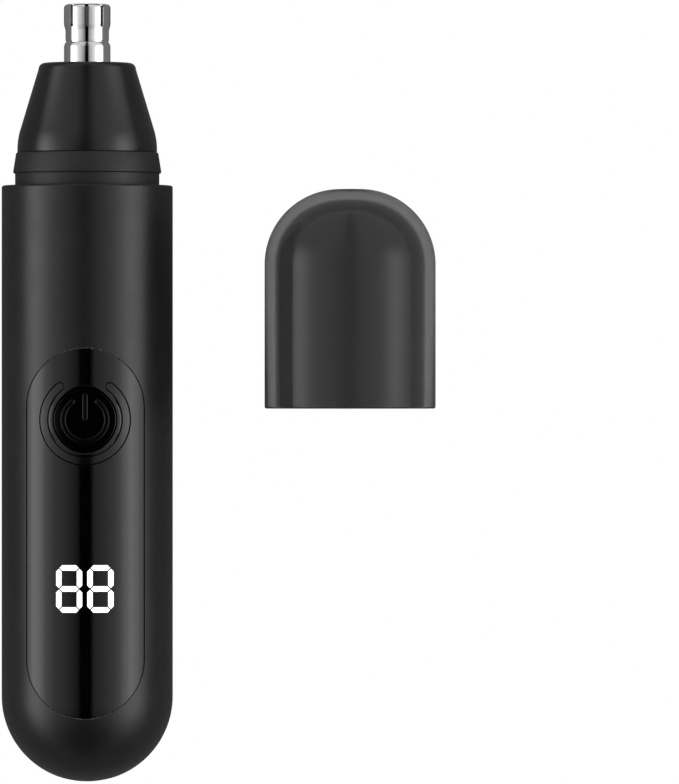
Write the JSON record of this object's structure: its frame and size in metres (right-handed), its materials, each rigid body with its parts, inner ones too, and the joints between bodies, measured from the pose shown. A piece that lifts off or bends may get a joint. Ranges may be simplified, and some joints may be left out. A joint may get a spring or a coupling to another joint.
{
  "type": "nose hair trimmer",
  "caption": "Rechargeable nose hair trimmer: round black barrel with button and display, conical head with slotted steel cutter, and its smoked cap lying beside it.",
  "frame": {"origin": "on the barrel's axis, in the middle of the plain stretch between the front panel and the shoulder", "axes": "the trimmer lies on its back: +Y along the barrel towards the cutting head, +Z out of the front face with the button and display, +X to the side where the cap lies"},
  "size_m": [0.0761, 0.1363, 0.03],
  "materials": {
    "shell_black": "satin black moulded plastic",
    "panel_gloss": "polished black plastic",
    "ring_lens": "dark tinted lens, unlit",
    "lit_white": "clear, lit white from behind",
    "inner_black": "moulded",
    "board_green": "solder resist",
    "chip_black": "moulded epoxy",
    "lamp_white": "phosphor yellow-white",
    "socket_steel": "plated",
    "soft_rubber": "matt",
    "cell_wrap": "shrink wrap",
    "nickel": "nickel strip",
    "foam": "foam",
    "lead_red": "insulated wire",
    "inner_white": "moulded",
    "motor_steel": "zinc plated",
    "magnet": "sintered",
    "brass_strip": "stamped",
    "bronze": "sintered, oil filled",
    "collar_black": "satin black moulded plastic",
    "screw_steel": "bright",
    "button_gloss": "polished black",
    "symbol_grey": "tinted lens, unlit",
    "copper": "enamelled copper",
    "cone_black": "satin black moulded plastic",
    "cutter_steel": "polished stainless steel",
    "blade_steel": "ground",
    "cap_smoke": "smoke-tinted clear plastic"
  },
  "bodies": {
    "handle": {"body_shell": "shell_black", "front_panel": "panel_gloss", "light_ring": "ring_lens", "display_segments": "lit_white", "display_housing": "inner_black", "circuit_board": "board_green", "board_chips": "chip_black", "ring_lamps": "lamp_white", "switch_case": "inner_black", "usb_socket_shell": "socket_steel", "usb_tongue": "inner_black", "port_gasket": "soft_rubber", "charge_board": "board_green", "battery_cell": "cell_wrap", "battery_tabs": "nickel", "battery_foam": "foam", "battery_leads": "lead_red", "inner_frame": "inner_white", "motor_can": "motor_steel", "motor_magnets": "magnet", "motor_end_cap": "inner_white", "motor_terminals": "brass_strip", "front_bush": "bronze", "rear_bush": "bronze", "motor_brushes": "brass_strip", "motor_leads": "lead_red", "neck_collar": "collar_black", "neck_seal": "soft_rubber", "motor_screws": "screw_steel"},
    "button": {"power_button": "button_gloss", "power_symbol": "symbol_grey"},
    "plunger": {"switch_plunger": "inner_black"},
    "rotor": {"motor_shaft": "screw_steel", "armature_core": "motor_steel", "armature_windings": "copper", "commutator": "copper", "drive_coupling": "inner_white"},
    "head": {"head_cone": "cone_black", "outer_cutter": "cutter_steel", "cutter_retainer": "inner_black", "spindle_bush": "inner_white"},
    "cutter": {"blade_spindle": "inner_white", "inner_blades": "blade_steel", "cutter_spring": "screw_steel"},
    "cap": {"protective_cap": "cap_smoke"}
  },
  "joints": [
    {"name": "button_press", "type": "slide", "parent": "handle", "child": "button", "axis": [0, 0, -1], "range_m": [0, 0.0004], "stiffness_N_per_m": 400},
    {"name": "plunger_press", "type": "slide", "parent": "handle", "child": "plunger", "axis": [0, 0, -1], "range_m": [0, 0.0004]},
    {"name": "rotor_spin", "type": "hinge", "parent": "handle", "child": "rotor", "pos_m": [0, 0, 0], "axis": [0, 1, 0], "continuous": true},
    {"name": "head_pull_off", "type": "slide", "parent": "handle", "child": "head", "axis": [0, 1, 0], "range_m": [0, 0.035]},
    {"name": "cutter_spin", "type": "hinge", "parent": "head", "child": "cutter", "pos_m": [0, 0, 0], "axis": [0, 1, 0], "continuous": true},
    {"name": "cap_slide", "type": "slide", "parent": "handle", "child": "cap", "axis": [0, 1, 0], "range_m": [0, 0.06]}
  ],
  "couplings": [
    {"joint": "plunger_press", "follows": "button_press", "ratio": 1},
    {"joint": "cutter_spin", "follows": "rotor_spin", "ratio": 1}
  ]
}
